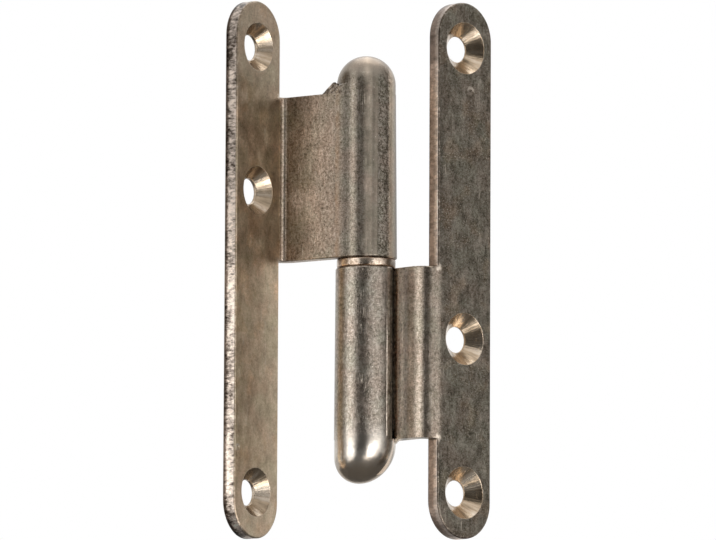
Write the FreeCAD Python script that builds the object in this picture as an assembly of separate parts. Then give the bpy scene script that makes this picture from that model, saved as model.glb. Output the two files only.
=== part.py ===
import FreeCAD, Part
import math
import os

from FreeCAD import Matrix, Placement, Rotation, Vector

# Lift off hinge in millimetres, +Z up along the pin, drawn with the door leaf swung wide open.
# Each leaf is one sheet: a round ended strip, a tab bent square from its edge and a rolled knuckle
# whose outer end is pressed shut into a dome. The origin is midway between the frame leaf's end
# screw holes, on the face that lies against the door frame.

# Sheet and strips
sheet = 3.0
strip_length = 110.0
strip_width = 15.0
edge_break = 0.25
bend_radius = 1.0
bend_setback = 0.25
frame_reach = 13.4
closed_gap = 3.0
door_strip_drop = 0.4

# Screw holes
hole_diameter = 5.3
hole_end_distance = 9.4
frame_middle_hole = -14.2
door_middle_hole = 16.0
frame_sink_diameter = 10.7
door_sink_diameter = 10.0
sink_angle = 90.0

# Knuckles
frame_knuckle_height = 35.0
door_knuckle_height = 33.8
slit_width = 1.0
roll_end_break = 0.6
door_draw_in = 0.22
frame_draw_in = -0.1

# Domed ends
dome_step = 0.08
frame_dome_collar = 2.3
frame_dome_lean = 0.29
frame_web = 0.8
door_dome_collar = 2.0
door_web = 1.8
dome_wall = 3.0

# Pin and bearing ring
pin_diameter = 6.5
pin_press = 0.01
running_clearance = 0.05
pin_engagement = 28.0
pin_chamfer = 1.0
pin_foot = 1.5
ring_height = 1.9
ring_inset = 0.25
ring_break = 0.4

# Swing from the shut position, clockwise seen from above
door_opening = 168.5

pin_radius = pin_diameter / 2
frame_bore = pin_radius - pin_press
door_bore = pin_radius + running_clearance
door_reach = frame_reach + closed_gap + sheet


def strip_start(bore):
    # The strip's inner edge stands just past the end of the bend.
    return bore + sheet + bend_radius + bend_setback


pin_x = -(strip_start(frame_bore) + strip_width / 2)
pin_y = frame_reach - sheet


def polar(radius, degrees):
    angle = math.radians(degrees)
    return Vector(radius * math.cos(angle), radius * math.sin(angle), 0)


def arc(centre, radius, start, end):
    points = [centre + polar(radius, a) for a in (start, (start + end) / 2, end)]
    return Part.Arc(*points).toShape()


def tab_section(bore, reach):
    # Plan of the tab and the bend: pin axis on the origin, tab towards -Y, strip towards +X.
    outer = bore + sheet
    bend_centre = Vector(outer + bend_radius, bend_radius + sheet - reach, 0)
    convex = arc(bend_centre, bend_radius + sheet, 270, 180)
    concave = arc(bend_centre, bend_radius, 180, 270)
    root = strip_start(bore) + 2 * edge_break
    corners = [
        Vector(outer, 0, 0),
        Vector(root, sheet - reach, 0),
        Vector(root, -reach, 0),
        Vector(bore, 0, 0),
    ]
    return Part.Face(Part.Wire([
        Part.makeLine(corners[0], concave.Vertexes[0].Point),
        concave,
        Part.makeLine(concave.Vertexes[-1].Point, corners[1]),
        Part.makeLine(corners[1], corners[2]),
        Part.makeLine(corners[2], convex.Vertexes[0].Point),
        convex,
        Part.makeLine(convex.Vertexes[-1].Point, corners[3]),
        Part.makeLine(corners[3], corners[0]),
    ]))


def roll(bore, low, high, taper):
    # The outside is a slightly leaning cone that stays flush with the tab's face; taper is per unit height.
    outer = bore + sheet
    lip_angle = 360 - math.degrees(math.acos((bore - slit_width) / outer))
    height = high - low
    lean = math.atan(taper)
    axis = Vector(math.sin(lean), 0, math.cos(lean))
    foot = axis * ((low - sheet) / axis.z)
    span = (height + 2 * sheet) / axis.z
    foot_radius = (outer - foot.x) / math.cos(lean)
    cone = Part.makeCone(foot_radius, foot_radius - span * taper, span, foot, axis)
    sector = Part.makeCylinder(outer + sheet, height, Vector(0, 0, low), Vector(0, 0, 1), lip_angle)
    solid = sector.common(cone).cut(Part.makeCylinder(bore, height, Vector(0, 0, low)))
    lip = polar(outer, lip_angle) + Vector(0, 0, (low + high) / 2)
    lip_edge = min(solid.Edges, key=lambda e: e.CenterOfMass.distanceToPoint(lip))
    return solid.makeChamfer(roll_end_break, [lip_edge])


def rolled_tab(bore, reach, seat, end, draw_in):
    # Seat is the height of the face by the bearing ring, end that of the pressed end.
    low = min(seat, end)
    high = max(seat, end)
    tab = tab_section(bore, reach)
    tab.translate(Vector(0, 0, low))
    tab = tab.extrude(Vector(0, 0, high - low))
    solid = tab.fuse(roll(bore, low, high, draw_in / (end - seat))).removeSplitter()
    root = strip_start(bore) + 2 * edge_break
    rim = [
        e for e in solid.Edges
        if abs(e.BoundBox.ZMin - seat) + abs(e.BoundBox.ZMax - seat) < edge_break
        and e.BoundBox.XMin < root - edge_break
    ]
    return solid.makeChamfer(edge_break, rim)


def strip(bore, reach, centre_z):
    # Full round ends, with the sheared rims broken on both faces.
    left = strip_start(bore)
    right = left + strip_width
    half = strip_length / 2
    shoulder = (strip_length - strip_width) / 2
    middle = (left + right) / 2

    def at(x, z):
        return Vector(x, -reach, centre_z + z)

    outline = Part.Wire([
        Part.makeLine(at(left, -shoulder), at(left, shoulder)),
        Part.Arc(at(left, shoulder), at(middle, half), at(right, shoulder)).toShape(),
        Part.makeLine(at(right, shoulder), at(right, -shoulder)),
        Part.Arc(at(right, -shoulder), at(middle, -half), at(left, -shoulder)).toShape(),
    ])
    plate = Part.Face(outline).extrude(Vector(0, sheet, 0))
    rims = [e for e in plate.Edges if e.BoundBox.YLength < edge_break]
    return plate.makeChamfer(edge_break, rims)


def screw_hole(x, z, face_y, inward, sink_diameter):
    # Clear hole with a countersink that opens on face_y; inward is the way the screw goes in.
    radius = hole_diameter / 2
    sink_radius = sink_diameter / 2
    depth = (sink_radius - radius) / math.tan(math.radians(sink_angle / 2))
    way = Vector(0, inward, 0)
    mouth = Vector(x, face_y, z)
    shank = Part.makeCylinder(radius, 3 * sheet, mouth - way * sheet, way)
    flare = Part.makeCone(sink_radius, radius, depth, mouth, way)
    entry = Part.makeCylinder(sink_radius, sheet, mouth - way * sheet, way)
    return shank.fuse([flare, entry])


def dome(radius, collar, lean):
    # Half sphere on a collar, on +Z; pressed askew by the lean, so the side by the tab is the shorter.
    body = Part.makeSphere(radius, Vector(0, 0, 0), Vector(0, 0, 1), 0, 90, 360)
    skirt = 2 * radius
    body = body.fuse(Part.makeCylinder(radius, skirt, Vector(0, 0, -skirt))).removeSplitter()
    if lean:
        shear = Matrix()
        shear.A32 = lean
        body = body.transformGeometry(shear)
    body.translate(Vector(0, 0, collar))
    width = 2 * skirt
    return body.common(Part.makeBox(width, width, width, Vector(-skirt, -skirt, 0)))


def corner_web(bore, size):
    # Metal drawn up from the tab's corner round the foot of the dome, sloping at 45 degrees.
    outer = bore + sheet
    slope = Part.makeCone(outer + size, outer - size, 2 * size)
    low = Vector(bore + dome_step, -outer - size, 0)
    return slope.common(Part.makeBox(sheet - 2 * dome_step, outer + size, 2 * size, low))


def closed_end(bore, draw_in, collar, lean, web):
    # Pressed end on the foot plane z = 0: a dome with a pointed hollow that carries on from the bore.
    radius = bore + sheet - draw_in - dome_step
    shell = dome(radius, collar, lean)
    shell.translate(Vector(draw_in, 0, 0))
    hollow = Part.makeCylinder(bore - dome_step, collar)
    point = Part.makeCone(bore - dome_step, 0, radius - dome_wall, Vector(0, 0, collar))
    return shell.fuse(corner_web(bore, web)).cut(hollow.fuse(point))


def leaf(bore, reach, tab, strip_z, cap, holes):
    solid = strip(bore, reach, strip_z).fuse([rolled_tab(bore, reach, *tab), cap]).removeSplitter()
    for hole in holes:
        solid = solid.cut(hole)
    return solid


def hole_rows(bore, strip_z, middle_hole):
    x = strip_start(bore) + strip_width / 2
    end = strip_length / 2 - hole_end_distance
    return [(x, strip_z + z) for z in (end, middle_hole, -end)]


def frame_leaf():
    # Lower half: countersunk on the outside of the bend, domed at the bottom.
    shape = (frame_dome_collar, frame_dome_lean, frame_web)
    cap = closed_end(frame_bore, frame_draw_in, *shape).mirror(Vector(0, 0, 0), Vector(0, 0, 1))
    cap.translate(Vector(0, 0, -frame_knuckle_height))
    holes = [
        screw_hole(x, z, -frame_reach, 1, frame_sink_diameter)
        for x, z in hole_rows(frame_bore, 0, frame_middle_hole)
    ]
    tab = (0, -frame_knuckle_height, frame_draw_in)
    return leaf(frame_bore, frame_reach, tab, 0, cap, holes)


def door_leaf():
    # Upper half: countersunk on the inside of the bend, domed at the top.
    top = ring_height + door_knuckle_height
    cap = closed_end(door_bore, door_draw_in, door_dome_collar, 0, door_web)
    cap.translate(Vector(0, 0, top))
    holes = [
        screw_hole(x, z, sheet - door_reach, -1, door_sink_diameter)
        for x, z in hole_rows(door_bore, -door_strip_drop, door_middle_hole)
    ]
    tab = (ring_height, top, door_draw_in)
    solid = leaf(door_bore, door_reach, tab, -door_strip_drop, cap, holes)
    solid.rotate(Vector(0, 0, 0), Vector(0, 0, 1), -door_opening)
    return solid


def hinge_pin():
    low = pin_foot - frame_knuckle_height
    high = ring_height + pin_engagement
    pin = Part.makeCylinder(pin_radius, high - low, Vector(0, 0, low))
    ends = [e for e in pin.Edges if isinstance(e.Curve, Part.Circle)]
    return pin.makeChamfer(pin_chamfer, ends)


def bearing_ring():
    # Loose on the pin, with both outer rims broken.
    ring = Part.makeCylinder(frame_bore + sheet - ring_inset, ring_height)
    rims = [e for e in ring.Edges if isinstance(e.Curve, Part.Circle)]
    ring = ring.makeChamfer(ring_break, rims)
    return ring.cut(Part.makeCylinder(pin_radius + running_clearance, ring_height))


os.makedirs("parts", exist_ok=True)
pieces = {
    "frame_leaf": frame_leaf(),
    "door_leaf": door_leaf(),
    "hinge_pin": hinge_pin(),
    "bearing_ring": bearing_ring(),
}
for name, solid in pieces.items():
    solid.Placement = Placement(Vector(pin_x, pin_y, 0), Rotation()).multiply(solid.Placement)
    solid.exportStep(f"parts/{name}.step")
    print(name, solid.isValid(), len(solid.Solids), round(solid.Volume, 1))
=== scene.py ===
import bpy
import math
from mathutils import Matrix, Vector


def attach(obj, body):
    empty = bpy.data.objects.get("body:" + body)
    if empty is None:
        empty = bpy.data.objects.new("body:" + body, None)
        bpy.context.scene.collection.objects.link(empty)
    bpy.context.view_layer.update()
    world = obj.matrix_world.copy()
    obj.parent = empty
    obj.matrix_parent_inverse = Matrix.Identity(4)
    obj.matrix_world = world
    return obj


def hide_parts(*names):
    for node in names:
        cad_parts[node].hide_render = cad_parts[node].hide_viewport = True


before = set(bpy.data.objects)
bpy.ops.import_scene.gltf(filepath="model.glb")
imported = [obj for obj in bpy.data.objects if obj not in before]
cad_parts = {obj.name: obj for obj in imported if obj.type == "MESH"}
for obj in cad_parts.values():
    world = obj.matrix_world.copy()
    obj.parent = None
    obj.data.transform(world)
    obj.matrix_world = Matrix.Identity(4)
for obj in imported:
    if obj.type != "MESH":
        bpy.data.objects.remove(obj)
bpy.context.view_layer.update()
print("hinge loaded")

pinAt = (-0.01499, 0.0104)      # pin axis in plan, metres
millimetre = 0.001
sheet = 3.0                     # thickness of both leaves, millimetres


# shader helpers
def addNode(tree, kind, **settings):
    node = tree.nodes.new(kind)
    for key, value in settings.items():
        setattr(node, key, value)
    return node


def feed(tree, socket, value):
    if isinstance(value, bpy.types.NodeSocket):
        tree.links.new(value, socket)
    elif isinstance(value, tuple) and len(value) == 3 and socket.type == "RGBA":
        socket.default_value = value + (1.0,)
    else:
        socket.default_value = value


def calc(tree, kind, a, b=0.0, clamp=False):
    node = addNode(tree, "ShaderNodeMath", operation=kind, use_clamp=clamp)
    feed(tree, node.inputs[0], a)
    feed(tree, node.inputs[1], b)
    return node.outputs[0]


def plus(tree, a, b):
    return calc(tree, "ADD", a, b)


def minus(tree, a, b, clamp=False):
    return calc(tree, "SUBTRACT", a, b, clamp)


def times(tree, first, *others):
    for other in others:
        first = calc(tree, "MULTIPLY", first, other)
    return first


def without(tree, mask):
    return minus(tree, 1.0, mask)


def larger(tree, a, b):
    return calc(tree, "MAXIMUM", a, b)


def unsigned(tree, value):
    return calc(tree, "ABSOLUTE", value)


def apart(tree, a, b):
    return calc(tree, "SQRT", plus(tree, times(tree, a, a), times(tree, b, b)))


def split(tree, vector):
    node = addNode(tree, "ShaderNodeSeparateXYZ")
    feed(tree, node.inputs[0], vector)
    return node.outputs


def join(tree, x, y, z=0.0):
    node = addNode(tree, "ShaderNodeCombineXYZ")
    for socket, value in zip(node.inputs, (x, y, z)):
        feed(tree, socket, value)
    return node.outputs[0]


def fade(tree, value, low, high, outLow=0.0, outHigh=1.0):
    # soft step from low to high
    node = addNode(tree, "ShaderNodeMapRange", interpolation_type="SMOOTHSTEP")
    feed(tree, node.inputs["Value"], value)
    node.inputs["From Min"].default_value = low
    node.inputs["From Max"].default_value = high
    node.inputs["To Min"].default_value = outLow
    node.inputs["To Max"].default_value = outHigh
    return node.outputs["Result"]


def between(tree, value, low, high, soft):
    return times(tree, fade(tree, value, low - soft, low), fade(tree, value, high + soft, high))


def part(tree, amount, a, b):
    node = addNode(tree, "ShaderNodeMix", data_type="FLOAT")
    feed(tree, node.inputs[0], amount)
    feed(tree, node.inputs[2], a)
    feed(tree, node.inputs[3], b)
    return node.outputs[0]


def blend(tree, amount, a, b, kind="MIX"):
    node = addNode(tree, "ShaderNodeMix", data_type="RGBA", blend_type=kind)
    feed(tree, node.inputs[0], amount)
    feed(tree, node.inputs[6], a)
    feed(tree, node.inputs[7], b)
    return node.outputs[2]


def tinted(tree, amount, colour, tone):
    return blend(tree, amount, colour, blend(tree, 1.0, colour, tone, "MULTIPLY"))


def tones(tree, value, stops):
    node = addNode(tree, "ShaderNodeValToRGB")
    feed(tree, node.inputs["Fac"], value)
    points = node.color_ramp.elements
    while len(points) < len(stops):
        points.new(0.5)
    for point, (place, colour) in zip(points, stops):
        point.position = place
        point.color = colour + (1.0,)
    return node.outputs["Color"]


def profile(tree, value, points):
    # straight lines through (place, number) points
    low = points[0][0]
    span = points[-1][0] - low
    top = max(abs(number) for place, number in points)
    share = calc(tree, "DIVIDE", minus(tree, value, low), span, clamp=True)
    stops = [((place - low) / span, (0.5 + number / top / 2,) * 3) for place, number in points]
    return swing(tree, tones(tree, share, stops), 2 * top)


def swing(tree, value, amount):
    # a value about one half, moved to nought and scaled
    return times(tree, minus(tree, value, 0.5), amount)


def noise(tree, vector, size, detail=2.0, rough=0.5, stretch=(1, 1, 1), turn=(0, 0, 0), seed=0.0):
    # size is the grain in the units of the vector
    spot = addNode(tree, "ShaderNodeMapping")
    feed(tree, spot.inputs["Vector"], vector)
    spot.inputs["Location"].default_value = (seed, seed * 1.7, seed * 0.6)
    spot.inputs["Rotation"].default_value = [math.radians(a) for a in turn]
    spot.inputs["Scale"].default_value = [1 / (size * s) for s in stretch]
    node = addNode(tree, "ShaderNodeTexNoise")
    feed(tree, node.inputs["Vector"], spot.outputs["Vector"])
    node.inputs["Scale"].default_value = 1.0
    node.inputs["Detail"].default_value = detail
    node.inputs["Roughness"].default_value = rough
    return node.outputs["Fac"]


def hairLines(tree, vector, turn, seed, width):
    # thin scratches: the level line of a stretched noise, broken up by a coarse one
    lines = noise(tree, vector, 1.0, 1.0, 0.4, (0.6, 0.6, 12.0), turn, seed)
    thin = fade(tree, unsigned(tree, minus(tree, lines, 0.5)), width, 0.0)
    broken = fade(tree, noise(tree, vector, 5.0, 2.0, 0.5, seed=seed + 5), 0.56, 0.66)
    return times(tree, thin, broken)


def newFinish(name):
    finish = bpy.data.materials.new(name)
    finish.use_nodes = True
    shader = finish.node_tree.nodes["Principled BSDF"]
    shader.inputs["Metallic"].default_value = 1.0
    return finish, finish.node_tree, shader


def addBump(tree, shader, height, depth, normal=None):
    bump = addNode(tree, "ShaderNodeBump")
    bump.inputs["Strength"].default_value = 1.0
    bump.inputs["Distance"].default_value = depth
    feed(tree, bump.inputs["Height"], height)
    if normal is not None:
        feed(tree, bump.inputs["Normal"], normal)
    feed(tree, shader.inputs["Normal"], bump.outputs["Normal"])


def dress(node, finish):
    node.data.materials.clear()
    node.data.materials.append(finish)


# leaf sizes are millimetres on the flat leaf: pin on the origin, tab along -Y, strip along +X
frameLeaf = {
    "node": "frame_leaf",
    "finish": "frameLeafPlating",
    "turn": 0.0,
    "seed": 3.0,
    "bore": 3.24,
    "stripStart": 7.49,
    "stripFace": -13.4,         # the countersunk face
    "foldSoft": 2.4,
    "tabEnds": (0.0, -35.0),
    "holes": [(14.99, 45.6), (14.99, -14.2), (14.99, -45.6)],
    "sinkRadius": 5.35,
    # painted light and shade: brightness of this leaf's countersinks
    "sinkTone": 1.1,
    "domeFoot": -35.0,
    "tipWay": -1,
    "tipShade": (0.85, 0.76, 0.66),
    "domeFrom": -30.5,          # heights where the dome's polish begins and is full
    "domeTo": -37.5,
    "domeGloss": 0.23,
    "domeMetal": (0.60, 0.55, 0.49),
    # tints of strip, tab and roll, whose brightness is painted light and shade
    "stripTone": (0.62, 0.63, 0.62),
    "tabTone": (1.15, 1.13, 1.13),
    "rollTone": (1.05, 1.07, 1.1),
    # painted shade on the strip's chamfered rims
    "rimTone": (0.42, 0.39, 0.36),
    "rollRoughness": 0.29,
    "stripGrain": 1.05,
    "stripBlotch": 2.7,
    "drawn": 0.1,
    "stain": 0.3,
    "flecks": (0.64, 0.71),
    "wornFrom": 0.5,
    "dings": [(16.5, 36.9, 0.95)],
    # painted light and shade along the strip and the tab: place along the pin or out from it, brightness
    "stripShade": [(-55, 1.0), (55, 1.0)],
    "tabShade": [(-14, 1.0), (0, 1.0)],
    # depth from the countersunk face, colour of the sheared edge
    "edgeBands": [(0.0, (0.85, 0.73, 0.64)), (0.35, (0.74, 0.63, 0.55)), (0.9, (0.70, 0.58, 0.49)),
                  (1.35, (0.45, 0.345, 0.28)), (2.5, (0.42, 0.32, 0.26)), (2.85, (0.10, 0.075, 0.06))],
    "edgeTicks": 0.42,
    # painted light and shade along the sheared edge, darker towards the top: height, brightness
    "edgeShade": [(-55, 1.0), (0, 1.12), (38, 1.25), (41.2, 1.15), (42.4, 0.5), (55, 0.42)],
    # painted highlights and shade: light and dark bands on the roll, tab and fold; the way across, then
    # (place across, brightness)
    "across": (0.7287, -0.6848),
    "acrossShade": [(-6.3, 0.8), (-5.0, 1.2), (-2.0, 1.0), (-0.2, 1.3), (1.2, 0.76), (4.1, 0.7), (4.6, 2.2),
                    (5.0, 0.7), (5.5, 0.3), (6.0, 1.8), (6.4, 2.4), (6.9, 2.4), (7.7, 0.74), (8.1, 0.55),
                    (8.9, 1.45), (10.4, 1.5), (12.0, 0.34), (13.0, 1.4), (13.9, 0.58), (15.6, 0.8)],
    # place across, strength of the grain
    "acrossGrain": [(-6.3, 1.0), (6.3, 1.0)],
    # place across, degrees the surface is turned: the fold sits further out than a square one
    "lean": [(-6.3, 4), (0.5, 4), (3.0, 1), (5.9, 0), (6.4, 10.8), (8.1, 10.8), (8.8, -2.6), (9.5, -15.2),
             (13.5, -16.4), (14.45, -19.5), (15.0, -10.8), (15.6, 0)],
    # heights between which it is turned, and how softly that begins and ends
    "leanFrom": -35.0,
    "leanEase": 6.0,
    "leanTo": 0.0,
    "leanSoft": 0.3,
}
doorLeaf = {
    "node": "door_leaf",
    "finish": "doorLeafPlating",
    "turn": -168.5,
    "seed": 11.0,
    "bore": 3.30,
    "stripStart": 7.55,
    "stripFace": -16.4,
    "foldSoft": -0.02,
    "tabEnds": (1.9, 35.7),
    "holes": [(15.05, 45.2), (15.05, 15.6), (15.05, -46.0)],
    "sinkRadius": 5.0,
    # painted light and shade: brightness of this leaf's countersinks
    "sinkTone": 0.9,
    "domeFoot": 35.7,
    "tipWay": 1,
    "tipShade": (0.88, 0.83, 0.80),
    "domeFrom": 37.6,
    "domeTo": 41.2,
    "domeGloss": 0.3,
    "domeMetal": (0.33, 0.285, 0.235),
    # tints of strip, tab and roll, whose brightness is painted light and shade
    "stripTone": (1.54, 1.44, 1.28),
    "tabTone": (1.17, 1.12, 1.09),
    "rollTone": (0.8, 0.8, 0.8),
    "rimTone": (1.0, 1.0, 1.0),
    "rollRoughness": 0.36,
    "stripGrain": 0.36,
    "stripBlotch": 1.5,
    "drawn": 0.03,
    "stain": 0.25,
    "flecks": (0.70, 0.76),
    "wornFrom": 0.35,
    "dings": [(21.5, -37.4, 0.8)],
    # painted light and shade along the strip and the tab: place along the pin or out from it, brightness
    "stripShade": [(-55, 0.95), (-40, 0.95), (-15, 1.0), (5, 1.2), (30, 1.25), (37, 0.68), (55, 0.6)],
    "tabShade": [(-16.4, 1.1), (-13, 1.2), (-9, 1.55), (-5.5, 1.2), (0, 0.7)],
    "edgeBands": [(0.0, (0.16, 0.12, 0.09)), (0.25, (0.66, 0.57, 0.50)), (1.8, (0.74, 0.64, 0.56)),
                  (2.25, (0.16, 0.12, 0.095)), (2.9, (0.05, 0.038, 0.03))],
    "edgeTicks": 1.0,
    # painted light and shade along the sheared edge, darker towards the top: height, brightness
    "edgeShade": [(-55, 1.08), (-5, 1.02), (12, 0.62), (42, 0.58), (52, 0.5)],
    "across": (-0.5776, 0.8163),
    # painted highlights and shade in light and dark bands on the roll, tab and fold: (place across,
    # brightness)
    "acrossShade": [(-5.2, 1.0), (-4.4, 0.6), (-3.6, 0.8), (-2.9, 1.4), (-1.7, 0.6), (-0.9, 1.05), (0.0, 2.7),
                    (1.3, 0.7), (2.1, 0.75), (2.6, 0.5), (4.2, 0.95), (4.7, 2.9), (5.2, 2.4), (5.9, 0.7)],
    "acrossGrain": [(-6.5, 1.0), (-0.6, 1.0), (-0.2, 0.35), (2.2, 0.35), (2.5, 2.1), (4.4, 2.1), (4.8, 0.4),
                    (6.3, 0.4)],
    # most on the side by the tab, none on the far side
    "lean": [(-7.0, 0), (-4.5, 3), (-2.0, 2), (2.0, 1), (5.9, 0)],
    "leanFrom": 1.9,
    "leanEase": 0.3,
    "leanTo": 33.0,
    "leanSoft": 9.0,
}
plating = {
    "tones": [(0.26, (0.115, 0.094, 0.070)), (0.5, (0.30, 0.252, 0.200)), (0.74, (0.50, 0.440, 0.370))],
    "hues": [(0.36, (0.965, 1.01, 0.99)), (0.5, (1, 1, 1)), (0.64, (1.035, 0.985, 0.98))],
    "grainSize": 0.24,
    "mottleSize": 2.2,
    "tintSize": 5.0,
    "patchSize": 5.0,
    "stepSize": 0.62,
    "fleckSize": 0.3,
    "streak": 0.14,
    "stainTone": (1.2, 0.97, 0.74),
    # brown grime and painted shade in the slit
    "grimeAndShade": (0.56, 0.32, 0.16),
    # painted shade inside the roll's bore
    "boreShade": (0.05, 0.033, 0.02),
    "bareMetal": (0.56, 0.49, 0.41),
    "glintMetal": (0.72, 0.62, 0.52),
    "tornTones": [(0.41, (0.17, 0.15, 0.135)), (0.48, (0.72, 0.7, 0.68)), (0.58, (1.6, 1.56, 1.52))],
    "sinkTones": [(0.36, (0.17, 0.128, 0.085)), (0.5, (0.46, 0.355, 0.25)), (0.62, (0.66, 0.56, 0.45))],
    "roughness": 0.34,
    "sinkRoughness": 0.22,
    "edgeRoughness": 0.34,
    "rollReach": (7.6, 6.5),        # distance from the pin where the roll begins and is full
    "foldReach": (6.6, 8.4),        # place along the strip where the tab gives way to the fold
    "slitReach": (7.3, 6.6),
    "pitDepth": 0.000024,
    "edgeRound": 0.0003,
    # heights of the relief, in pit depths
    "grainHeight": 0.8,
    "coarseHeight": 1.9,
    "chatterHeight": 7.0,
    "dentHeight": 5.0,
    "scratchHeight": 0.5,
    "stepHeight": 4.0,
}


def leafPlace(tree, leaf):
    # where a point lies on the flat leaf, and which way the surface looks there
    coords = addNode(tree, "ShaderNodeTexCoord")
    flat = addNode(tree, "ShaderNodeMapping", vector_type="TEXTURE")
    feed(tree, flat.inputs["Vector"], coords.outputs["Object"])
    flat.inputs["Location"].default_value = (pinAt[0], pinAt[1], 0)
    flat.inputs["Rotation"].default_value = (0, 0, math.radians(leaf["turn"]))
    flat.inputs["Scale"].default_value = (millimetre, millimetre, millimetre)
    looks = addNode(tree, "ShaderNodeMapping", vector_type="VECTOR")
    feed(tree, looks.inputs["Vector"], coords.outputs["Normal"])
    looks.inputs["Rotation"].default_value = (0, 0, math.radians(-leaf["turn"]))
    x, y, z = split(tree, flat.outputs["Vector"])
    lookX, lookY, lookZ = split(tree, looks.outputs["Vector"])
    alongX, alongY = leaf["across"]
    return {
        "at": flat.outputs["Vector"],
        "x": x,
        "y": y,
        "z": z,
        "lookZ": lookZ,
        "flatness": unsigned(tree, lookY),
        "front": minus(tree, times(tree, lookX, alongY), times(tree, lookY, alongX)),
        "fromPin": apart(tree, x, y),
        "fromFace": unsigned(tree, minus(tree, y, leaf["stripFace"])),
        "across": plus(tree, times(tree, x, alongX), times(tree, y, alongY)),
    }


def countersinks(tree, leaf, place):
    # the countersinks, and the way a point lies from the hole's middle
    sunk, aside, above = 0.0, 0.0, 0.0
    for holeX, holeZ in leaf["holes"]:
        dx = minus(tree, place["x"], holeX)
        dz = minus(tree, place["z"], holeZ)
        away = apart(tree, dx, dz)
        inHole = fade(tree, away, leaf["sinkRadius"] + 0.1, leaf["sinkRadius"] - 0.05)
        sunk = plus(tree, sunk, inHole)
        aside = plus(tree, aside, times(tree, inHole, calc(tree, "DIVIDE", dx, away)))
        above = plus(tree, above, times(tree, inHole, calc(tree, "DIVIDE", dz, away)))
    sunk = times(tree, sunk, fade(tree, place["flatness"], 0.95, 0.85))
    return sunk, aside, above


def leafMasks(tree, leaf, place):
    x, y, z = place["x"], place["y"], place["z"]
    start = leaf["stripStart"]
    foot = leaf["domeFoot"]
    crisp = fade(tree, x, start - 0.1, start - 0.02)
    soft = fade(tree, x, start - 0.1, start + leaf["foldSoft"])
    byTab = between(tree, z, min(leaf["tabEnds"]), max(leaf["tabEnds"]), 0.4)
    onStrip = part(tree, byTab, crisp, soft)
    sunk, aside, above = countersinks(tree, leaf, place)
    sheared = times(tree, onStrip, fade(tree, place["flatness"], 0.85, 0.5))
    rimmed = times(tree, onStrip, between(tree, place["flatness"], 0.65, 0.78, 0.08))
    onRoll = fade(tree, place["fromPin"], *plating["rollReach"])
    inBore = fade(tree, place["fromPin"], leaf["bore"] + 0.9, leaf["bore"] + 0.1)
    pastFoot = times(tree, minus(tree, z, foot), leaf["tipWay"])
    byFoot = times(tree, between(tree, z, foot - 0.45, foot + 0.45, 0.3), onRoll)
    offTab = larger(tree, fade(tree, y, 0.0, 0.6), fade(tree, x, 2.4, 1.6))
    return {
        "onStrip": onStrip,
        "offStrip": without(tree, fade(tree, x, start + 0.6, start + 2.4)),
        "sunk": sunk,
        "aside": aside,
        "above": above,
        "sheared": minus(tree, sheared, sunk, clamp=True),
        "rimmed": minus(tree, rimmed, sunk, clamp=True),
        "onRoll": onRoll,
        "onTab": minus(tree, without(tree, onRoll), fade(tree, x, *plating["foldReach"]), clamp=True),
        "pressed": times(tree, onRoll, fade(tree, z, leaf["domeFrom"], leaf["domeTo"])),
        "inRoll": times(tree, inBore, fade(tree, pastFoot, 5.4, 5.0)),
        "byFoot": byFoot,
        "smoothFoot": times(tree, byFoot, offTab),
    }


def leafPatterns(tree, leaf, place, mask):
    at = place["at"]
    seed = leaf["seed"]
    grainSize = plating["grainSize"]
    rollGrain = profile(tree, place["across"], leaf["acrossGrain"])
    turned = join(tree, times(tree, mask["aside"], 3.0), times(tree, mask["above"], 3.0),
                  times(tree, place["z"], 0.25))
    steep = hairLines(tree, at, (24, 9, 0), seed, 0.010)
    shallow = hairLines(tree, at, (-63, 20, 0), seed + 1, 0.008)
    return {
        "grain": noise(tree, at, grainSize, 2.0, 0.65, seed=seed),
        "coarse": noise(tree, at, grainSize * 2.6, 3.0, 0.6, seed=seed + 2),
        "mottle": noise(tree, at, plating["mottleSize"], 4.0, 0.6, (1, 1, 1.6), seed=seed),
        "drawn": noise(tree, at, 0.6, 2.0, 0.5, (1, 1, 16), seed=seed + 3),
        "steps": noise(tree, at, plating["stepSize"], 3.0, 0.7, (2.4, 2.4, 1.0), seed=seed + 4),
        "chatter": noise(tree, turned, 1.3, 4.0, 0.62, seed=seed + 6),
        "tint": noise(tree, at, plating["tintSize"], 3.0, 0.55, seed=seed + 7),
        "patches": noise(tree, at, plating["patchSize"], 2.0, 0.6, seed=seed + 9),
        "flecks": noise(tree, at, plating["fleckSize"], 1.0, 0.5, seed=seed + 12),
        "scratch": larger(tree, steep, shallow),
        "rollGrain": part(tree, mask["onRoll"], 1.0, rollGrain),
    }


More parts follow.
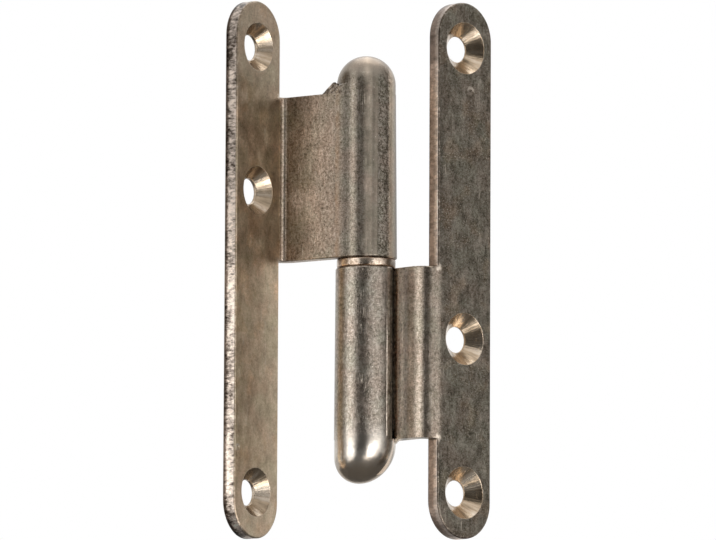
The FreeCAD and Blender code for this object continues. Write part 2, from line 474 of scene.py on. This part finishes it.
def platedColour(tree, leaf, place, mask, look):
    onStrip = mask["onStrip"]
    fine = plus(tree, swing(tree, look["grain"], 0.8), swing(tree, look["coarse"], 0.75))
    fine = times(tree, fine, part(tree, onStrip, 1.0, leaf["stripGrain"]), look["rollGrain"])
    blotch = times(tree, swing(tree, look["mottle"], 0.3), part(tree, onStrip, 1.0, leaf["stripBlotch"]))
    streak = part(tree, onStrip, plating["streak"], leaf["drawn"])
    streak = times(tree, swing(tree, look["drawn"], 1.0), streak)
    level = plus(tree, plus(tree, 0.5, fine), plus(tree, blotch, streak))
    colour = tones(tree, level, plating["tones"])
    hue = tones(tree, plus(tree, look["tint"], swing(tree, look["coarse"], 0.2)), plating["hues"])
    colour = blend(tree, 1.0, colour, hue, "MULTIPLY")
    # each part's tint, its brightness being painted light and shade
    for spot, tone in (("onStrip", "stripTone"), ("onTab", "tabTone"), ("onRoll", "rollTone")):
        colour = tinted(tree, mask[spot], colour, leaf[tone])
    # painted light and shade along the strip, along the tab, and in bands across the roll and fold
    alongStrip = part(tree, onStrip, 1.0, profile(tree, place["z"], leaf["stripShade"]))
    alongTab = part(tree, mask["onTab"], 1.0, profile(tree, place["y"], leaf["tabShade"]))
    bands = part(tree, mask["offStrip"], 1.0, profile(tree, place["across"], leaf["acrossShade"]))
    colour = blend(tree, 1.0, colour, times(tree, alongStrip, alongTab, bands), "MULTIPLY")
    # brown stains on the strip
    stained = times(tree, fade(tree, look["patches"], 0.52, 0.68), onStrip, leaf["stain"])
    return tinted(tree, stained, colour, plating["stainTone"])


def slitGrimeAndShade(tree, place, mask, look):
    # brown grime and painted shade on the tab beside the slit, and on the cut end of the roll's lip
    x, y = place["x"], place["y"]
    ragged = plus(tree, place["fromPin"], swing(tree, look["mottle"], 1.0))
    onTab = times(tree, mask["onTab"], fade(tree, ragged, *plating["slitReach"]))
    lipEnd = fade(tree, plus(tree, x, times(tree, y, 0.384)), -0.25, -0.05)
    lipEnd = times(tree, lipEnd, mask["onRoll"], between(tree, y, -6.0, -2.6, 0.3))
    return larger(tree, onTab, times(tree, lipEnd, fade(tree, x, 3.0, 2.5)))


def cornerGlints(tree, leaf, place, look):
    # painted glints where the tab's ends meet the strip
    paintedGlint = 0.0
    for end in leaf["tabEnds"]:
        gap = addNode(tree, "ShaderNodeVectorMath", operation="DISTANCE")
        feed(tree, gap.inputs[0], place["at"])
        gap.inputs[1].default_value = (leaf["stripStart"] + 0.1, leaf["stripFace"], end)
        ragged = plus(tree, gap.outputs["Value"], swing(tree, look["coarse"], 2.4))
        paintedGlint = plus(tree, paintedGlint, fade(tree, ragged, 1.0, 0.4))
    return paintedGlint


def dentsAndHighlights(tree, leaf, place, look):
    # small dents in the strip's face, with a painted highlight above: a bright crescent
    dent, paintedCrescent = 0.0, 0.0
    onFace = fade(tree, place["fromFace"], 0.3, 0.1)
    for knockX, knockZ, size in leaf["dings"]:
        dz = minus(tree, place["z"], knockZ)
        away = apart(tree, minus(tree, place["x"], knockX), dz)
        away = plus(tree, away, swing(tree, look["coarse"], size * 0.7))
        dent = plus(tree, dent, times(tree, fade(tree, away, size, size * 0.3), onFace))
        rim = between(tree, away, size * 0.6, size * 0.9, size * 0.25)
        rim = times(tree, rim, fade(tree, dz, -0.2 * size, 0.4 * size), onFace)
        paintedCrescent = plus(tree, paintedCrescent, rim)
    return dent, paintedCrescent


def wearAndPaintedLight(tree, leaf, place, mask, look, paintedCrescent, colour):
    # flecks, painted glints at the tab's corners, dents with a painted crescent highlight, the polished dome
    # with painted shade at its tip, and hairlines
    bare = plating["bareMetal"]
    fleck = times(tree, fade(tree, look["flecks"], *leaf["flecks"]), fade(tree, look["patches"], 0.45, 0.6))
    colour = blend(tree, times(tree, fleck, 0.75), colour, bare)
    # painted glints at the tab's corners
    paintedGlint = cornerGlints(tree, leaf, place, look)
    colour = blend(tree, times(tree, paintedGlint, 0.75), colour, plating["glintMetal"])
    # painted highlight: the bright crescent above each dent
    colour = blend(tree, times(tree, paintedCrescent, 0.6), colour, bare)
    colour = blend(tree, times(tree, mask["pressed"], 0.75), colour, leaf["domeMetal"])
    # painted shade on the dome's tip, the end that faces along the pin
    tip = plus(tree, times(tree, place["lookZ"], leaf["tipWay"]), swing(tree, look["coarse"], 0.5))
    tip = times(tree, mask["pressed"], fade(tree, tip, 0.25, 0.75))
    colour = tinted(tree, tip, colour, leaf["tipShade"])
    return blend(tree, times(tree, look["scratch"], 0.6), colour, bare)


def shearedColour(tree, leaf, place, mask, look, colour):
    # bands through the sheet, with torn steps across them
    depth = plus(tree, place["fromFace"], swing(tree, look["coarse"], 1.1))
    stops = [(deep / sheet, tone) for deep, tone in leaf["edgeBands"]]
    bands = tones(tree, calc(tree, "DIVIDE", depth, sheet), stops)
    torn = plus(tree, times(tree, look["steps"], 0.55), times(tree, look["patches"], 0.45))
    edge = tinted(tree, leaf["edgeTicks"], bands, tones(tree, torn, plating["tornTones"]))
    # painted light and shade along the sheared edge
    edge = blend(tree, 1.0, edge, profile(tree, place["z"], leaf["edgeShade"]), "MULTIPLY")
    colour = blend(tree, mask["sheared"], colour, edge)
    # broken rims of the strip, darkened as painted shade but for a few bright nicks
    dull = times(tree, mask["rimmed"], fade(tree, look["coarse"], 0.64, 0.56))
    return tinted(tree, dull, colour, leaf["rimTone"])


def sinkColour(tree, leaf, look):
    level = plus(tree, times(tree, look["tint"], 0.4), times(tree, look["chatter"], 0.6))
    tone = tones(tree, level, plating["sinkTones"])
    # each leaf's countersinks lighter or darker, as painted light and shade
    return blend(tree, 1.0, tone, (leaf["sinkTone"],) * 3, "MULTIPLY")


def roundedEdges(tree, leaf, mask, look):
    # the rounded normal, and where its turn shows a worn edge
    bevel = addNode(tree, "ShaderNodeBevel", samples=6)
    bevel.inputs["Radius"].default_value = plating["edgeRound"]
    shape = addNode(tree, "ShaderNodeNewGeometry")
    bent = addNode(tree, "ShaderNodeVectorMath", operation="DOT_PRODUCT")
    feed(tree, bent.inputs[0], bevel.outputs["Normal"])
    feed(tree, bent.inputs[1], shape.outputs["Normal"])
    worn = fade(tree, bent.outputs["Value"], 0.985, 0.88)
    worn = times(tree, worn, fade(tree, look["coarse"], leaf["wornFrom"], 0.65, 0.0, 0.8))
    worn = times(tree, worn, without(tree, larger(tree, mask["pressed"], mask["byFoot"])))
    return bevel.outputs["Normal"], worn


def leafGloss(tree, leaf, mask, look):
    gloss = part(tree, mask["onRoll"], plating["roughness"], leaf["rollRoughness"])
    gloss = plus(tree, gloss, swing(tree, look["mottle"], 0.2))
    gloss = plus(tree, gloss, swing(tree, look["grain"], -0.2))
    gloss = part(tree, mask["pressed"], gloss, leaf["domeGloss"])
    gloss = part(tree, mask["sunk"], gloss, plating["sinkRoughness"])
    return part(tree, mask["sheared"], gloss, plating["edgeRoughness"])


def leafRelief(tree, leaf, mask, look, dent):
    pits = plus(tree, times(tree, look["grain"], plating["grainHeight"]),
                times(tree, look["coarse"], plating["coarseHeight"]))
    pits = times(tree, pits, without(tree, times(tree, mask["pressed"], 0.65)))
    pits = times(tree, pits, without(tree, times(tree, mask["sunk"], 0.8)))
    relief = times(tree, pits, part(tree, mask["onStrip"], look["rollGrain"], leaf["stripGrain"]))
    relief = plus(tree, relief, times(tree, mask["sunk"], look["chatter"], plating["chatterHeight"]))
    relief = minus(tree, relief, times(tree, dent, plating["dentHeight"]))
    relief = minus(tree, relief, times(tree, look["scratch"], plating["scratchHeight"]))
    return plus(tree, relief, times(tree, mask["sheared"], look["steps"], plating["stepHeight"]))


def leafNormal(tree, leaf, place, mask, rounded):
    # the dome's foot is smoothed over, then the surface is turned about the pin where the sheet leans
    z = place["z"]
    low = leaf["leanFrom"]
    outward = addNode(tree, "ShaderNodeVectorRotate", rotation_type="Z_AXIS")
    feed(tree, outward.inputs["Vector"], join(tree, place["x"], place["y"]))
    outward.inputs["Angle"].default_value = math.radians(leaf["turn"])
    radial = addNode(tree, "ShaderNodeVectorTransform", vector_type="NORMAL")
    radial.convert_from = "OBJECT"
    radial.convert_to = "WORLD"
    feed(tree, radial.inputs[0], outward.outputs[0])
    smooth = addNode(tree, "ShaderNodeMix", data_type="VECTOR")
    feed(tree, smooth.inputs[0], mask["smoothFoot"])
    feed(tree, smooth.inputs[4], rounded)
    feed(tree, smooth.inputs[5], radial.outputs[0])
    onFlat = fade(tree, z, low - 0.3, low)
    onRound = fade(tree, z, low - leaf["leanEase"], low)
    lowEnd = part(tree, mask["onRoll"], onFlat, onRound)
    highEnd = fade(tree, z, leaf["leanTo"] + leaf["leanSoft"], leaf["leanTo"])
    lean = times(tree, profile(tree, place["across"], leaf["lean"]), math.pi / 180)
    lean = times(tree, lean, times(tree, lowEnd, highEnd), fade(tree, place["front"], 0.05, 0.25))
    leaning = addNode(tree, "ShaderNodeVectorRotate", rotation_type="Z_AXIS")
    feed(tree, leaning.inputs["Vector"], smooth.outputs[1])
    feed(tree, leaning.inputs["Angle"], times(tree, lean, without(tree, mask["sunk"])))
    return leaning.outputs["Vector"]


def leafFinish(leaf):
    finish, tree, shader = newFinish(leaf["finish"])
    place = leafPlace(tree, leaf)
    mask = leafMasks(tree, leaf, place)
    look = leafPatterns(tree, leaf, place, mask)
    grimeAndShade = slitGrimeAndShade(tree, place, mask, look)
    dent, paintedCrescent = dentsAndHighlights(tree, leaf, place, look)
    rounded, worn = roundedEdges(tree, leaf, mask, look)
    colour = platedColour(tree, leaf, place, mask, look)
    # brown grime and painted shade by the slit, not metal there
    colour = blend(tree, times(tree, grimeAndShade, 0.85), colour, plating["grimeAndShade"])
    colour = wearAndPaintedLight(tree, leaf, place, mask, look, paintedCrescent, colour)
    colour = shearedColour(tree, leaf, place, mask, look, colour)
    colour = blend(tree, mask["sunk"], colour, sinkColour(tree, leaf, look))
    colour = blend(tree, worn, colour, plating["bareMetal"])
    # painted shade inside the roll's bore
    colour = blend(tree, mask["inRoll"], colour, plating["boreShade"])
    feed(tree, shader.inputs["Base Color"], colour)
    feed(tree, shader.inputs["Metallic"], without(tree, times(tree, grimeAndShade, 0.9)))
    feed(tree, shader.inputs["Roughness"], leafGloss(tree, leaf, mask, look))
    relief = leafRelief(tree, leaf, mask, look, dent)
    addBump(tree, shader, relief, plating["pitDepth"], leafNormal(tree, leaf, place, mask, rounded))
    return finish


pinLook = {
    "metal": (0.42, 0.41, 0.39),
    "dull": (0.2, 0.19, 0.17),
    "roughness": 0.28,
    "lineSize": 0.0004,
    "lineDepth": 0.000006,
    "oilSize": 0.006,
}


def pinFinish():
    finish, tree, shader = newFinish("pinSteel")
    at = addNode(tree, "ShaderNodeTexCoord").outputs["Object"]
    drawn = noise(tree, at, pinLook["lineSize"], 2.0, 0.6, (1, 1, 14), seed=1)
    oil = noise(tree, at, pinLook["oilSize"], 4.0, 0.6, seed=4)
    level = plus(tree, times(tree, drawn, 0.5), times(tree, oil, 0.5))
    colour = tones(tree, level, [(0.4, pinLook["dull"]), (0.58, pinLook["metal"])])
    rough = pinLook["roughness"]
    feed(tree, shader.inputs["Base Color"], colour)
    feed(tree, shader.inputs["Roughness"], fade(tree, oil, 0.3, 0.7, rough + 0.1, rough - 0.08))
    addBump(tree, shader, drawn, pinLook["lineDepth"])
    return finish


ringLook = {
    "radius": 0.00599,
    "bore": 0.0033,
    "height": 0.0019,
    "rimRound": 0.00045,
    "metal": (0.58, 0.465, 0.37),
    "bright": (0.78, 0.66, 0.54),
    "dull": (0.30, 0.22, 0.155),
    "rimTone": (0.32, 0.21, 0.135),
    "roughness": 0.24,
    "lineSize": 0.0006,
    "stainSize": 0.0010,
    "pitDepth": 0.00004,
    # painted highlights and shade: light and dark bands round it; the way across, then (place across in
    # metres, brightness)
    "across": (0.7287, -0.6848),
    "acrossShade": [(-0.006, 0.8), (-0.0047, 0.8), (-0.0042, 1.15), (-0.0016, 1.1), (0.0006, 0.8),
                    (0.0013, 0.65), (0.0018, 1.0), (0.0039, 0.95), (0.0045, 0.45), (0.006, 0.4)],
}


def ringFinish():
    finish, tree, shader = newFinish("ringBronze")
    at = addNode(tree, "ShaderNodeTexCoord").outputs["Object"]
    x, y, z = split(tree, at)
    turned = noise(tree, at, ringLook["lineSize"], 3.0, 0.6, (4.0, 4.0, 0.2), seed=2)
    stain = noise(tree, at, ringLook["stainSize"], 4.0, 0.65, seed=5)
    stops = [(0.36, ringLook["dull"]), (0.5, ringLook["metal"]), (0.64, ringLook["bright"])]
    colour = tones(tree, stain, stops)
    # painted highlights and shade in bands across the ring
    dx = times(tree, minus(tree, x, pinAt[0]), ringLook["across"][0])
    dy = times(tree, minus(tree, y, pinAt[1]), ringLook["across"][1])
    across = plus(tree, plus(tree, dx, dy), swing(tree, stain, 0.0008))
    colour = blend(tree, 1.0, colour, profile(tree, across, ringLook["acrossShade"]), "MULTIPLY")
    # brown at both rims
    fromMiddle = unsigned(tree, minus(tree, z, ringLook["height"] / 2))
    rim = fade(tree, plus(tree, fromMiddle, swing(tree, stain, 0.0012)), 0.00050, 0.00085)
    rough = ringLook["roughness"]
    feed(tree, shader.inputs["Base Color"], blend(tree, rim, colour, ringLook["rimTone"]))
    feed(tree, shader.inputs["Roughness"], fade(tree, stain, 0.3, 0.7, rough + 0.12, rough - 0.06))
    addBump(tree, shader, plus(tree, turned, stain), ringLook["pitDepth"])
    return finish


def makeRing(finish):
    bpy.ops.object.select_all(action="DESELECT")
    height = ringLook["height"]
    middle = (pinAt[0], pinAt[1], height / 2)
    bpy.ops.mesh.primitive_cylinder_add(vertices=96, radius=ringLook["radius"], depth=height, location=middle)
    ring = bpy.context.active_object
    ring.name = "bearingRing"
    bpy.ops.object.transform_apply(location=True, rotation=True, scale=True)
    mesh = ring.data
    bpy.ops.object.mode_set(mode="EDIT")
    bpy.ops.mesh.select_mode(type="FACE")
    bpy.ops.mesh.select_all(action="DESELECT")
    bpy.ops.object.mode_set(mode="OBJECT")
    for face in mesh.polygons:
        face.select = abs(face.normal.z) > 0.9
    bpy.ops.object.mode_set(mode="EDIT")
    bpy.ops.mesh.inset(thickness=ringLook["radius"] - ringLook["bore"], use_individual=True)
    bpy.ops.mesh.bridge_edge_loops()        # opens the bore between the two inset faces
    bpy.ops.mesh.select_mode(type="EDGE")
    bpy.ops.mesh.select_all(action="DESELECT")
    bpy.ops.object.mode_set(mode="OBJECT")
    for edge in mesh.edges:
        ends = [mesh.vertices[i].co for i in edge.vertices]
        out = min(math.hypot(p.x - pinAt[0], p.y - pinAt[1]) for p in ends)
        edge.select = out > ringLook["radius"] * 0.98 and abs(ends[0].z - ends[1].z) < 1e-6
    bpy.ops.object.mode_set(mode="EDIT")
    bpy.ops.mesh.bevel(offset=ringLook["rimRound"], segments=5, profile=0.5)
    bpy.ops.object.mode_set(mode="OBJECT")
    bpy.ops.object.shade_smooth_by_angle(angle=math.radians(35))
    dress(ring, finish)
    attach(ring, "ring")
    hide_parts("bearing_ring")
    return ring


burrs = {
    # name: dark and light colour, roughness
    "lipBurr": ((0.40, 0.33, 0.27), (0.78, 0.68, 0.57), 0.3),
    "tornSteel": ((0.10, 0.08, 0.062), (0.30, 0.25, 0.205), 0.42),
}
burrGrain = 0.0004
burrDepth = 0.00004


def burrFinish(name):
    finish, tree, shader = newFinish(name)
    dark, light, rough = burrs[name]
    at = addNode(tree, "ShaderNodeTexCoord").outputs["Object"]
    grain = noise(tree, at, burrGrain, 3.0, 0.65, seed=8)
    feed(tree, shader.inputs["Base Color"], tones(tree, grain, [(0.38, dark), (0.62, light)]))
    shader.inputs["Roughness"].default_value = rough
    addBump(tree, shader, grain, burrDepth)
    return finish


lipBeads = {
    "radius": 0.00027,
    "sunk": 0.00010,        # how far its middle lies under the roll's surface
    "bearing": -90.0,
    "steps": 30,
    "thinSteps": 6,         # last steps, which thin out
    "thin": 0.86,
    "wander": 0.00004,
    "runs": [
        # leaf, body, roll radius, first and last height
        (frameLeaf, "frame_half", 0.00624, -0.0346, -0.0085),
        (doorLeaf, "door_half", 0.00625, 0.0352, 0.0085),
    ],
}


def beadSwell(step):
    return 1 + 0.16 * math.sin(1.9 * step) + 0.1 * math.sin(4.3 * step + 1)


def makeLipBead(leaf, body, rollRadius, first, last, finish):
    # ragged burr along the roll beside the slit, drawn by extruding a small disc
    bpy.ops.object.select_all(action="DESELECT")
    bearing = math.radians(lipBeads["bearing"] + leaf["turn"])
    reach = rollRadius - lipBeads["sunk"]
    start = (pinAt[0] + reach * math.cos(bearing), pinAt[1] + reach * math.sin(bearing), first)
    radius = lipBeads["radius"]
    bpy.ops.mesh.primitive_circle_add(vertices=12, radius=radius, fill_type="NGON", location=start)
    bead = bpy.context.active_object
    bead.name = leaf["node"] + "LipBead"
    bpy.ops.object.transform_apply(location=True, rotation=True, scale=True)
    bpy.ops.object.mode_set(mode="EDIT")
    bpy.ops.mesh.select_all(action="SELECT")
    steps = lipBeads["steps"]
    for i in range(steps):
        bpy.ops.mesh.extrude_region_move(TRANSFORM_OT_translate={"value": (0, 0, (last - first) / steps)})
        scale = beadSwell(i)
        if i > 0:
            scale = scale * (1 / beadSwell(i - 1))
        if i >= steps - lipBeads["thinSteps"]:
            scale = lipBeads["thin"]
        bpy.ops.transform.resize(value=(scale, scale, 1))
    bpy.ops.mesh.select_all(action="SELECT")
    bpy.ops.transform.vertex_random(offset=lipBeads["wander"], seed=7)
    bpy.ops.mesh.normals_make_consistent(inside=False)
    bpy.ops.object.mode_set(mode="OBJECT")
    bpy.ops.object.shade_smooth_by_angle(angle=math.radians(50))
    dress(bead, finish)
    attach(bead, body)
    return bead


tornWeb = {
    "size": (0.0028, 0.0048, 0.0020),       # through the sheet, along the slope, out of it
    "middle": (4.78, -4.48, 35.38),         # on the flat door leaf, millimetres
    "slope": 38.0,
    "step": (0, -0.0004, 0.0007),           # how its upper part stands out from the rest
    "rag": 0.00021,
}


def makeTornWeb(finish):
    # flake of sheet torn up where the dome was pressed beside the tab
    bpy.ops.object.select_all(action="DESELECT")
    bpy.ops.mesh.primitive_cube_add(size=1)
    flake = bpy.context.active_object
    flake.name = "tornWeb"
    mesh = flake.data
    bpy.ops.object.mode_set(mode="EDIT")
    bpy.ops.mesh.select_all(action="SELECT")
    bpy.ops.transform.resize(value=tornWeb["size"])
    bpy.ops.mesh.subdivide(number_cuts=4)
    bpy.ops.object.mode_set(mode="OBJECT")
    for face in mesh.polygons:
        face.select = face.normal.z > 0.9 and face.center.y > -tornWeb["size"][1] * 0.1
    bpy.ops.object.mode_set(mode="EDIT")
    bpy.ops.mesh.select_mode(type="FACE")
    bpy.ops.mesh.extrude_region_move(TRANSFORM_OT_translate={"value": tornWeb["step"]})
    bpy.ops.mesh.select_all(action="SELECT")
    bpy.ops.transform.vertex_random(offset=tornWeb["rag"], seed=3)
    bpy.ops.mesh.subdivide(number_cuts=1, smoothness=0.6, fractal=0.4, seed=5)
    # lay it on the slope, then swing it to the leaf's place
    spot = Vector((0, 0, 0))
    bpy.ops.transform.rotate(value=math.radians(-tornWeb["slope"]), orient_axis="X", center_override=spot)
    bpy.ops.transform.translate(value=[millimetre * v for v in tornWeb["middle"]])
    bpy.ops.transform.rotate(value=math.radians(-doorLeaf["turn"]), orient_axis="Z", center_override=spot)
    bpy.ops.transform.translate(value=(pinAt[0], pinAt[1], 0))
    bpy.ops.mesh.normals_make_consistent(inside=False)
    bpy.ops.object.mode_set(mode="OBJECT")
    bpy.ops.object.shade_smooth_by_angle(angle=math.radians(40))
    dress(flake, finish)
    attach(flake, "door_half")
    return flake


shot = {
    "azimuth": -43.22,
    "elevation": -6.99,
    "roll": 0.276,
    "distance": 1.488,
    "lens": 367.4,
    "sensor": 36,
    "aside": -0.001663,         # aim, beside the pin and along it
    "height": -0.000246,
}


def addCamera():
    turn = Matrix.Rotation(math.radians(shot["azimuth"]), 4, "Z")
    tilt = Matrix.Rotation(math.radians(90 - shot["elevation"]), 4, "X")
    roll = Matrix.Rotation(math.radians(shot["roll"]), 4, "Z")
    aim = Vector((pinAt[0], pinAt[1], shot["height"])) + turn @ Vector((shot["aside"], 0, 0))
    pose = turn @ tilt @ roll
    data = bpy.data.cameras.new("camera")
    data.lens = shot["lens"]
    data.sensor_width = shot["sensor"]
    data.clip_end = 20
    camera = bpy.data.objects.new("camera", data)
    bpy.context.scene.collection.objects.link(camera)
    back = pose.to_3x3() @ Vector((0, 0, shot["distance"]))
    camera.matrix_world = Matrix.Translation(aim + back) @ pose
    bpy.context.scene.camera = camera


studio = {
    "floorDrop": -0.42,
    "floorSize": 60.0,
    "floorColour": (0.86, 0.85, 0.83),
    "fill": 0.8,
    "lights": [
        # name, angle from the camera, distance, height, width, tall, power
        ("leftPanel", -50, 0.45, -0.15, 0.23, 0.42, 0.62),
        ("rightPanel", 47, 0.45, -0.16, 0.27, 0.40, 0.55),
        ("leftLow", -36, 0.44, -0.20, 0.10, 0.16, 0.07),
        ("rightLow", 34, 0.44, -0.235, 0.19, 0.35, 0.77),
        ("frontLow", 24, 0.28, -0.345, 0.12, 0.12, 0.08),
        ("topPanel", 170, 0.25, 0.55, 0.5, 0.5, 1.1),
    ],
    "cards": [
        # name, angle from the camera, distance, height, width, tall, grey
        ("frontCard", -4, 0.75, 0.0, 0.62, 1.1, 0.06),
        ("rightCard", 87, 0.55, 0.08, 0.20, 0.6, 0.25),
        ("leftCard", -86, 0.55, 0.08, 0.30, 0.6, 0.65),
        ("lowCard", 0, 0.02, -0.37, 1.3, 1.3, 0.14),
    ],
}


def fromCamera(angle, distance, height):
    # a spot seen from the hinge at this angle from the camera, to the right
    turn = math.radians(shot["azimuth"] - 90 + angle)
    return Vector((pinAt[0] + distance * math.cos(turn), pinAt[1] + distance * math.sin(turn), height))


def facing(spot):
    return (Vector((pinAt[0], pinAt[1], 0)) - spot).to_track_quat("-Z", "Y")


def paint(name, colour, rough):
    coat = bpy.data.materials.new(name)
    coat.use_nodes = True
    shader = coat.node_tree.nodes["Principled BSDF"]
    shader.inputs["Base Color"].default_value = colour + (1,)
    shader.inputs["Roughness"].default_value = rough
    return coat


def addLights():
    for name, angle, distance, height, width, tall, power in studio["lights"]:
        data = bpy.data.lights.new(name, "AREA")
        data.shape = "RECTANGLE"
        data.size = width
        data.size_y = tall
        data.energy = power
        lamp = bpy.data.objects.new(name, data)
        bpy.context.scene.collection.objects.link(lamp)
        lamp.location = fromCamera(angle, distance, height)
        lamp.rotation_euler = facing(lamp.location).to_euler()
        lamp.visible_camera = False


def addCards():
    # grey cards out of shot, so that the bright metal has something to mirror
    for name, angle, distance, height, width, tall, grey in studio["cards"]:
        bpy.ops.object.select_all(action="DESELECT")
        bpy.ops.mesh.primitive_plane_add(size=1)
        card = bpy.context.active_object
        card.name = name
        card.scale = (width, tall, 1)
        card.location = fromCamera(angle, distance, height)
        card.rotation_euler = facing(card.location).to_euler()
        card.visible_camera = False
        card.visible_diffuse = False        # only the mirror sees it, the floor stays pale
        card.visible_shadow = False
        card.data.materials.append(paint(name + "Paper", (grey, grey, grey), 0.9))


def addFloor():
    bpy.ops.object.select_all(action="DESELECT")
    middle = (pinAt[0], pinAt[1], studio["floorDrop"])
    bpy.ops.mesh.primitive_plane_add(size=studio["floorSize"], location=middle)
    floor = bpy.context.active_object
    floor.name = "floor"
    floor.data.materials.append(paint("paleFloor", studio["floorColour"], 0.8))


def addWorld():
    # plain white to the camera and in the metal, a weaker fill for everything else
    world = bpy.data.worlds.new("studioWhite")
    bpy.context.scene.world = world
    world.use_nodes = True
    tree = world.node_tree
    tree.nodes.clear()
    path = addNode(tree, "ShaderNodeLightPath")
    white = addNode(tree, "ShaderNodeBackground")
    white.inputs["Color"].default_value = (1, 1, 1, 1)
    fill = addNode(tree, "ShaderNodeBackground")
    fill.inputs["Color"].default_value = (1, 1, 1, 1)
    fill.inputs["Strength"].default_value = studio["fill"]
    seen = larger(tree, path.outputs["Is Camera Ray"], path.outputs["Is Glossy Ray"])
    seen = larger(tree, seen, path.outputs["Is Transmission Ray"])
    mix = addNode(tree, "ShaderNodeMixShader")
    feed(tree, mix.inputs[0], seen)
    feed(tree, mix.inputs[1], fill.outputs[0])
    feed(tree, mix.inputs[2], white.outputs[0])
    out = addNode(tree, "ShaderNodeOutputWorld")
    feed(tree, out.inputs["Surface"], mix.outputs[0])


for leaf in (frameLeaf, doorLeaf):
    dress(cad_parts[leaf["node"]], leafFinish(leaf))
dress(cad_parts["hinge_pin"], pinFinish())
print("leaves and pin dressed")
makeRing(ringFinish())
lipFinish = burrFinish("lipBurr")
for leaf, body, rollRadius, first, last in lipBeads["runs"]:
    makeLipBead(leaf, body, rollRadius, first, last, lipFinish)
makeTornWeb(burrFinish("tornSteel"))
print("ring, lip beads and torn web made")

addFloor()
addCards()
addLights()
addWorld()
addCamera()
bpy.context.scene.view_settings.view_transform = "Standard"
print("studio set")
